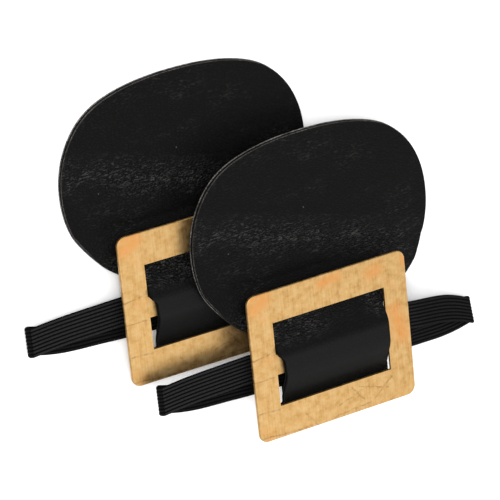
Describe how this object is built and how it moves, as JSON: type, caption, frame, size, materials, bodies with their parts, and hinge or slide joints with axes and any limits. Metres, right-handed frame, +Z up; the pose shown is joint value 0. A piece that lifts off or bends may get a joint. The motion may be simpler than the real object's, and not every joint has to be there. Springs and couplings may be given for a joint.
{
  "type": "shoe buckle cover pair",
  "caption": "Pair of slip-on shoe covers: padded black oval flap, flat brass slide buckle and flattened elastic foot loop, one leaning on the other.",
  "frame": {"origin": "middle of the pair's footprint, on the surface it lies on", "axes": "+Z up off the table, +Y from the buckles towards the flaps, +X to the covers' right"},
  "size_m": [0.2072, 0.1618, 0.0279],
  "materials": {
    "leatherette_face": "black pebble-grained leatherette, satin",
    "leatherette_lining": "black leatherette lining, satin",
    "padding_core": "grey felted interlining",
    "buckle_plate": "brushed, scratched and spotted brass",
    "elastic_band": "black braided ribbed elastic",
    "sewing_thread": "black polyester thread"
  },
  "bodies": {
    "front_buckle_body": {"front_buckle": "buckle_plate"},
    "front_elastic": {"front_elastic_band": "elastic_band", "front_elastic_seam_thread": "sewing_thread"},
    "front_flap": {"front_flap_core": "padding_core", "front_flap_face_ply": "leatherette_face", "front_flap_lining_ply": "leatherette_lining"},
    "front_strap": {"front_strap_core": "padding_core", "front_strap_face_ply": "leatherette_face", "front_strap_lining_ply": "leatherette_lining", "front_tail_seam_thread": "sewing_thread"},
    "rear_buckle_body": {"rear_buckle": "buckle_plate"},
    "rear_elastic": {"rear_elastic_band": "elastic_band", "rear_elastic_seam_thread": "sewing_thread"},
    "rear_flap": {"rear_flap_core": "padding_core", "rear_flap_face_ply": "leatherette_face", "rear_flap_lining_ply": "leatherette_lining"},
    "rear_strap": {"rear_strap_core": "padding_core", "rear_strap_face_ply": "leatherette_face", "rear_strap_lining_ply": "leatherette_lining", "rear_tail_seam_thread": "sewing_thread"}
  },
  "joints": [
    {"name": "front_lift_off", "type": "slide", "parent": "rear_strap", "child": "front_strap", "axis": [0, 0, 1], "range_m": [0, 0.06]},
    {"name": "rear_flap_bend", "type": "hinge", "parent": "rear_strap", "child": "rear_flap", "pos_m": [-0.02505, 0.0241, 0.0027], "axis": [1, 0, 0], "range_deg": [0, 60]},
    {"name": "rear_buckle_rock", "type": "hinge", "parent": "rear_strap", "child": "rear_buckle_body", "pos_m": [-0.02505, -0.0129, 0.01], "axis": [-1, 0, 0], "range_deg": [-1.5, 2.5]},
    {"name": "rear_elastic_slide", "type": "slide", "parent": "rear_strap", "child": "rear_elastic", "axis": [1, 0, 0], "range_m": [-0.006, 0.006]},
    {"name": "front_flap_bend", "type": "hinge", "parent": "front_strap", "child": "front_flap", "pos_m": [0.0226, -0.0111, 0.01637], "axis": [0.9998, 0, -0.0186], "range_deg": [0, 60]},
    {"name": "front_buckle_rock", "type": "hinge", "parent": "front_strap", "child": "front_buckle_body", "pos_m": [0.02274, -0.0481, 0.02367], "axis": [-0.9998, 0, 0.0186], "range_deg": [-1.5, 2.5]},
    {"name": "front_elastic_slide", "type": "slide", "parent": "front_strap", "child": "front_elastic", "axis": [0.9998, 0, -0.0186], "range_m": [-0.006, 0.006]}
  ],
  "couplings": [
    {"joint": "rear_flap_bend", "follows": "front_lift_off", "rad_per_m": 13.09},
    {"joint": "rear_buckle_rock", "follows": "front_lift_off", "rad_per_m": 0.7127}
  ]
}
